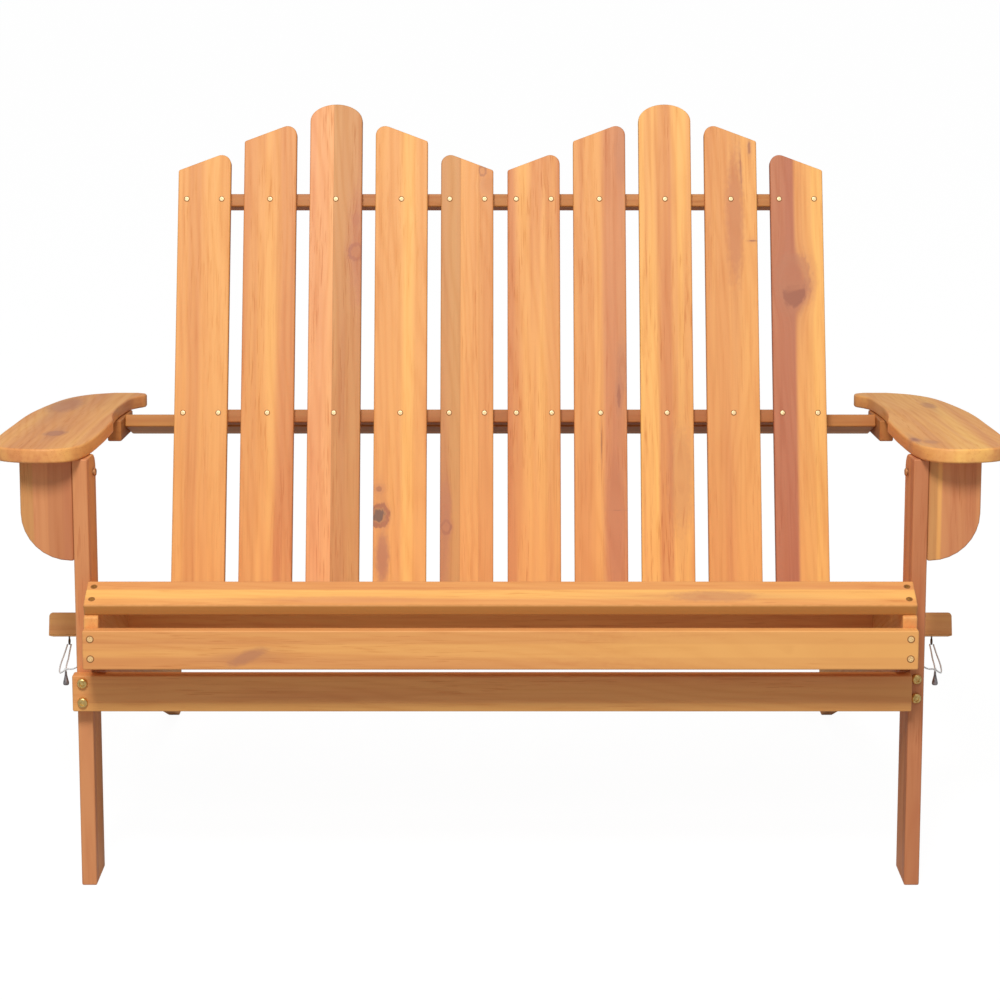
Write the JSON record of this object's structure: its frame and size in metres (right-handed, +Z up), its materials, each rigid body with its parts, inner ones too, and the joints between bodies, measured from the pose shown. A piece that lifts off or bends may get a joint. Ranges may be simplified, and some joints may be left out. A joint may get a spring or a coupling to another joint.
{
  "type": "folding adirondack loveseat",
  "caption": "Slatted wooden garden seat for two with a reclined slat back, broad arms, sloping side rails that end as rear feet, and a frame that folds forward.",
  "frame": {"origin": "on the floor, under the middle of the whole seat's box", "axes": "+X across the width, to the sitter's left as seen from the front on the right; +Y from the front edge towards the back; +Z up"},
  "size_m": [1.2624, 0.852, 0.9424],
  "materials": {
    "wood_honey": "oiled, satin",
    "wood_amber": "oiled, satin",
    "wood_russet": "oiled, satin",
    "brass": "satin",
    "steel": "dull",
    "cord": "twisted white cord"
  },
  "bodies": {
    "seat_frame": {"back_bolt_left": "brass", "back_bolt_right": "brass", "cord_free_left": "cord", "cord_free_right": "cord", "cord_inner_left": "cord", "cord_inner_right": "cord", "cord_outer_left": "cord", "cord_outer_right": "cord", "cross_bar": "wood_amber", "eye_left": "steel", "eye_right": "steel", "front_slat": "wood_honey", "knot_left": "cord", "knot_right": "cord", "leg_bolt_left": "brass", "leg_bolt_right": "brass", "nose_slat": "wood_honey", "peg_left": "steel", "peg_right": "steel", "seat_slat_1": "wood_honey", "seat_slat_2": "wood_amber", "seat_slat_3": "wood_honey", "seat_slat_4": "wood_amber", "seat_slat_5": "wood_honey", "side_rail_left": "wood_amber", "side_rail_right": "wood_amber"},
    "legs": {"apron": "wood_russet", "apron_bolt_left_high": "brass", "apron_bolt_left_low": "brass", "apron_bolt_right_high": "brass", "apron_bolt_right_low": "brass", "arm_bolt_left": "brass", "arm_bolt_right": "brass", "bracket_left": "wood_honey", "bracket_right": "wood_honey", "leg_left": "wood_russet", "leg_right": "wood_russet"},
    "arm_left": {"arm_left": "wood_honey", "front_cleat_left": "wood_amber", "rear_bolt_left": "brass", "rear_cleat_left": "wood_amber"},
    "arm_right": {"arm_right": "wood_honey", "front_cleat_right": "wood_amber", "rear_bolt_right": "brass", "rear_cleat_right": "wood_amber"},
    "back": {"arm_support": "wood_russet", "back_slat_01": "wood_honey", "back_slat_02": "wood_amber", "back_slat_03": "wood_honey", "back_slat_04": "wood_honey", "back_slat_05": "wood_amber", "back_slat_06": "wood_honey", "back_slat_07": "wood_amber", "back_slat_08": "wood_honey", "back_slat_09": "wood_honey", "back_slat_10": "wood_amber", "hinge_bar": "wood_amber", "lower_batten": "wood_russet", "upper_batten": "wood_russet"}
  },
  "joints": [
    {"name": "legs_fold", "type": "hinge", "parent": "seat_frame", "child": "legs", "pos_m": [0, -0.313, 0.285], "axis": [1, 0, 0], "range_deg": [0, 68]},
    {"name": "arm_left_fold", "type": "hinge", "parent": "legs", "child": "arm_left", "pos_m": [-0.5151, -0.3005, 0.51889], "axis": [1, 0, 0], "range_deg": [-49, 0]},
    {"name": "arm_right_fold", "type": "hinge", "parent": "legs", "child": "arm_right", "pos_m": [0.5151, -0.3005, 0.51889], "axis": [1, 0, 0], "range_deg": [-49, 0]},
    {"name": "back_fold", "type": "hinge", "parent": "seat_frame", "child": "back", "pos_m": [0, -0.0225, 0.288], "axis": [1, 0, 0], "range_deg": [0, 61.5]}
  ],
  "couplings": [
    {"joint": "arm_left_fold", "follows": "legs_fold", "ratio": -0.715},
    {"joint": "arm_right_fold", "follows": "legs_fold", "ratio": -0.715},
    {"joint": "back_fold", "follows": "legs_fold", "ratio": 0.9}
  ]
}
